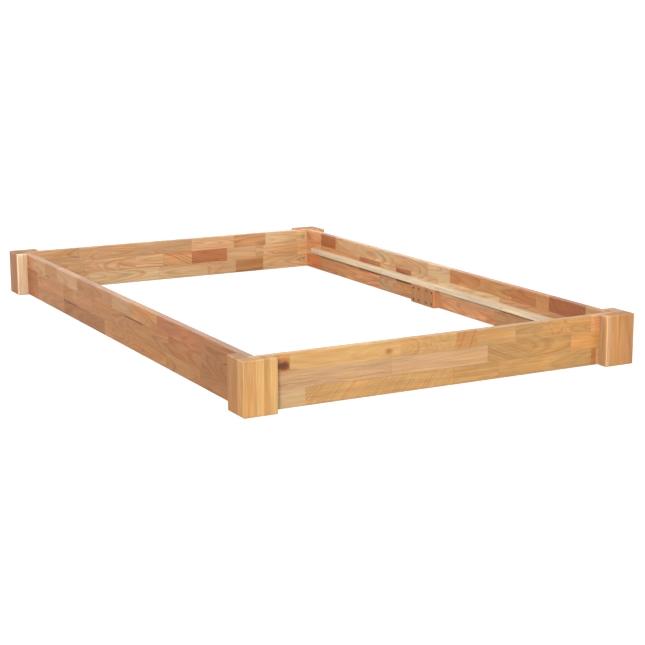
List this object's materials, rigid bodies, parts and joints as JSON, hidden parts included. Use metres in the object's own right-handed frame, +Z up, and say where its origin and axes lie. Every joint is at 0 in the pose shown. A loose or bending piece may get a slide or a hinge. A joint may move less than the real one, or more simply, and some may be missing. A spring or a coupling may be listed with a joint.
{
  "type": "bed frame",
  "caption": "Low rectangular wooden bed frame: square corner posts wrap board rails, and ledgers run along the insides of the long sides.",
  "frame": {"origin": "on the floor, under the middle of the frame", "axes": "+Z up, +Y along the length towards the back end, +X towards the right side"},
  "size_m": [1.336, 2.136, 0.16],
  "materials": {
    "post_wood": "satin oiled hardwood, upright lamellas",
    "rail_wood": "satin oiled hardwood, edge-glued staves of mixed tone",
    "block_wood": "satin oiled hardwood",
    "ledger_wood": "planed softwood",
    "dowel_wood": "plain beech",
    "zinc_steel": "yellow zinc plate",
    "screw_steel": "dark yellow zinc plate"
  },
  "bodies": {
    "root": {"post_front_left": "post_wood", "post_front_right": "post_wood", "post_back_left": "post_wood", "post_back_right": "post_wood", "end_rail_front": "rail_wood", "end_rail_back": "rail_wood", "side_rail_left_front": "rail_wood", "side_rail_left_back": "rail_wood", "side_rail_right_front": "rail_wood", "side_rail_right_back": "rail_wood", "splice_block_left": "block_wood", "splice_block_right": "block_wood", "ledger_left_front": "ledger_wood", "ledger_left_back": "ledger_wood", "ledger_right_front": "ledger_wood", "ledger_right_back": "ledger_wood", "bolts_front_left": "zinc_steel", "bolts_front_right": "zinc_steel", "bolts_back_left": "zinc_steel", "bolts_back_right": "zinc_steel", "washers_front_left": "zinc_steel", "washers_front_right": "zinc_steel", "washers_back_left": "zinc_steel", "washers_back_right": "zinc_steel", "inserts_front_left": "zinc_steel", "inserts_front_right": "zinc_steel", "inserts_back_left": "zinc_steel", "inserts_back_right": "zinc_steel", "dowels_left": "dowel_wood", "dowels_right": "dowel_wood", "splice_screws_left": "screw_steel", "splice_screws_right": "screw_steel", "ledger_screws_left_front": "screw_steel", "ledger_screws_left_back": "screw_steel", "ledger_screws_right_front": "screw_steel", "ledger_screws_right_back": "screw_steel"}
  },
  "joints": []
}
